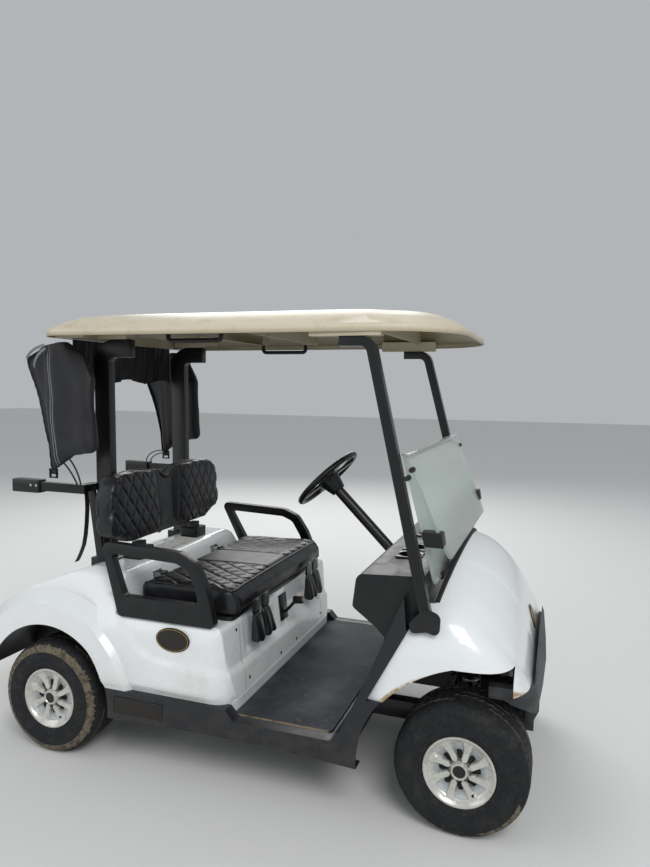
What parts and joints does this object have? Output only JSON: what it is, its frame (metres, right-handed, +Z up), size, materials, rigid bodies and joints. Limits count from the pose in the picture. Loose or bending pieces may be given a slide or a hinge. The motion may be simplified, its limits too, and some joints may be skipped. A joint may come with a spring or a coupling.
{
  "type": "golf cart",
  "caption": "Two-seat golf cart with roof, folding windshield, bench seat on a hinge, rolled rear curtains, bag rack and steered front wheels.",
  "frame": {"origin": "on the ground under the middle of the overall box", "axes": "+X forward, +Y to the driver's left, +Z up"},
  "size_m": [2.369, 1.204, 1.7949],
  "materials": {
    "black_steel": "satin black paint",
    "spring_steel": "black paint",
    "white_body": "gloss white",
    "black_moulding": "fine grain",
    "gloss_black": "gloss black",
    "rubber": "matt",
    "clear_pane": "clear",
    "beige_roof": "satin",
    "black_vinyl": "soft grain",
    "hinge_steel": "zinc",
    "black_fabric": "woven",
    "bare_plate": "brushed, blank",
    "silver_cover": "silver",
    "rim_steel": "grey paint",
    "tyre": "worn"
  },
  "bodies": {
    "chassis": {"frame": "black_steel", "front_arms": "black_steel", "front_dampers": "spring_steel", "rear_axle": "black_steel", "rear_dampers": "spring_steel", "engine": "black_steel", "floor_pan": "black_moulding", "floor_mat": "rubber", "rear_body": "white_body", "bag_well": "black_moulding", "arch_liners": "black_moulding", "rocker_panels": "black_moulding", "front_cowl": "white_body", "cowl_seal": "rubber", "dashboard": "black_moulding", "cup_holders": "gloss_black", "windshield_lower": "clear_pane", "windshield_upper": "clear_pane", "windshield_fittings": "black_moulding", "roof": "beige_roof", "front_struts": "black_steel", "rear_struts": "black_steel", "back_supports": "black_steel", "grab_handles": "black_moulding", "bag_rack": "black_moulding", "armrests": "black_moulding", "seat_hinges": "hinge_steel", "back_cushion": "black_vinyl", "curtains": "black_fabric", "steering_column": "black_moulding", "pedals": "black_moulding", "shift_lever": "black_moulding", "blank_plates": "bare_plate", "front_bumper": "black_moulding", "rear_bumper": "black_moulding"},
    "seat_bottom": {"seat_base": "black_moulding", "seat_cushion": "black_vinyl", "seat_pouches": "black_vinyl"},
    "knuckle_left": {"knuckle_left": "black_steel"},
    "knuckle_right": {"knuckle_right": "black_steel"},
    "steering_wheel": {"steering_wheel": "black_moulding"},
    "steering_rack": {"steering_rack": "black_steel"},
    "wheel_front_left": {"rim_front_left": "rim_steel", "tyre_front_left": "tyre", "cover_front_left": "silver_cover"},
    "wheel_front_right": {"rim_front_right": "rim_steel", "tyre_front_right": "tyre", "cover_front_right": "silver_cover"},
    "wheel_rear_left": {"rim_rear_left": "rim_steel", "tyre_rear_left": "tyre", "cover_rear_left": "silver_cover"},
    "wheel_rear_right": {"rim_rear_right": "rim_steel", "tyre_rear_right": "tyre", "cover_rear_right": "silver_cover"}
  },
  "joints": [
    {"name": "seat_lid", "type": "hinge", "parent": "chassis", "child": "seat_bottom", "pos_m": [-0.392, 0, 0.69], "axis": [0, -1, 0], "range_deg": [0, 35]},
    {"name": "steer_left", "type": "hinge", "parent": "chassis", "child": "knuckle_left", "pos_m": [0.928, 0.358, 0.2285], "axis": [0, 0, 1], "range_deg": [-25, 25]},
    {"name": "steer_right", "type": "hinge", "parent": "chassis", "child": "knuckle_right", "pos_m": [0.928, -0.358, 0.2285], "axis": [0, 0, 1], "range_deg": [-26, 26]},
    {"name": "steering_wheel_turn", "type": "hinge", "parent": "chassis", "child": "steering_wheel", "pos_m": [0.177, 0.27, 1.073], "axis": [-0.7071, 0, 0.7071], "range_deg": [-380, 380]},
    {"name": "rack_slide", "type": "slide", "parent": "chassis", "child": "steering_rack", "axis": [0, -1, 0], "range_m": [-0.046, 0.046]},
    {"name": "spin_front_left", "type": "hinge", "parent": "knuckle_left", "child": "wheel_front_left", "pos_m": [0.928, 0.435, 0.2285], "axis": [0, 1, 0], "continuous": true},
    {"name": "spin_front_right", "type": "hinge", "parent": "knuckle_right", "child": "wheel_front_right", "pos_m": [0.928, -0.435, 0.2285], "axis": [0, 1, 0], "continuous": true},
    {"name": "spin_rear_left", "type": "hinge", "parent": "chassis", "child": "wheel_rear_left", "pos_m": [-0.712, 0.485, 0.2285], "axis": [0, 1, 0], "continuous": true},
    {"name": "spin_rear_right", "type": "hinge", "parent": "chassis", "child": "wheel_rear_right", "pos_m": [-0.712, -0.485, 0.2285], "axis": [0, 1, 0], "continuous": true}
  ],
  "couplings": [
    {"joint": "steer_right", "follows": "steer_left", "ratio": 1},
    {"joint": "steering_wheel_turn", "follows": "steer_left", "ratio": 15},
    {"joint": "rack_slide", "follows": "steer_left", "m_per_rad": 0.1}
  ]
}
